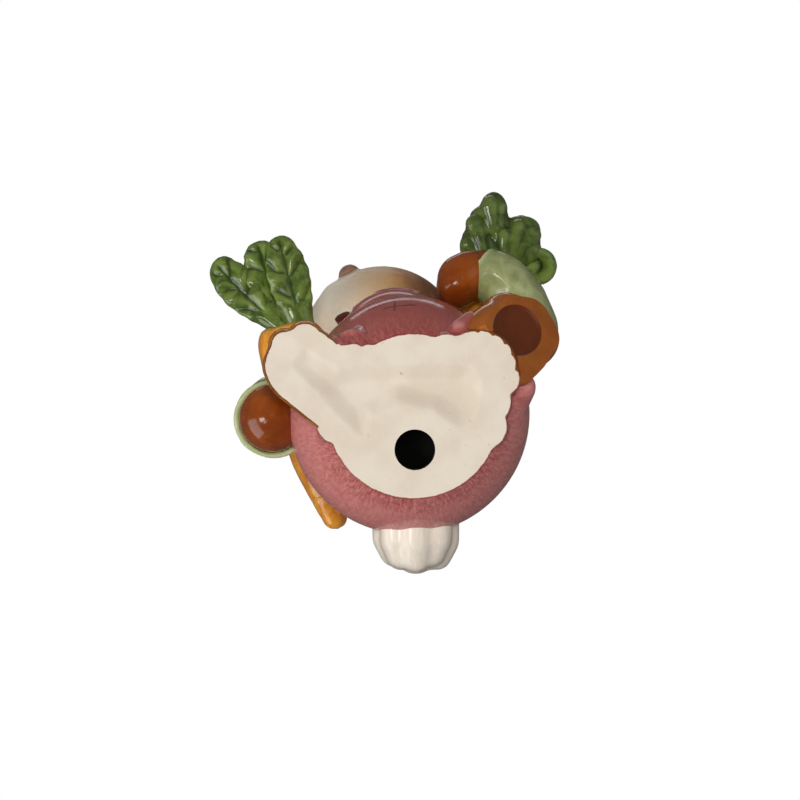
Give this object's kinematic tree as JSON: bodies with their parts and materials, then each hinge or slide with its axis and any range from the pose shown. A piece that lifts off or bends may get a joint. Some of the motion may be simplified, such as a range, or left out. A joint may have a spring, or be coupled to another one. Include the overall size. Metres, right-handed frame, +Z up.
{
  "type": "hare figurine",
  "caption": "Seated glazed earthenware hare figurine in dungarees, holding a carrot under each arm, hollow-cast on a flat unglazed base with a firing vent.",
  "frame": {"origin": "on the flat base, under the centre of the belly", "axes": "+Z up out of the base, -Y the way the hare's body faces, +X to the hare's left"},
  "size_m": [0.1039, 0.1131, 0.1473],
  "materials": {
    "pink_glaze": "brushed rose glaze, bare clay on the base",
    "fur_glaze": "brown gloss glaze, sprayed over cream on the face",
    "cream_glaze": "clear gloss over a cream body",
    "shirt_glaze": "mottled light green gloss glaze",
    "carrot_glaze": "orange gloss glaze",
    "leaf_glaze": "dark green gloss glaze with lighter veins"
  },
  "bodies": {
    "root": {"body_shell": "pink_glaze", "right_foot": "fur_glaze", "left_foot": "fur_glaze", "tail": "cream_glaze", "head_shell": "fur_glaze", "right_ear": "fur_glaze", "left_ear": "fur_glaze", "right_sleeve": "shirt_glaze", "left_sleeve": "shirt_glaze", "right_hand": "fur_glaze", "left_hand": "fur_glaze", "right_carrot": "carrot_glaze", "left_carrot": "carrot_glaze", "right_leaves": "leaf_glaze", "left_leaves": "leaf_glaze"}
  },
  "joints": []
}
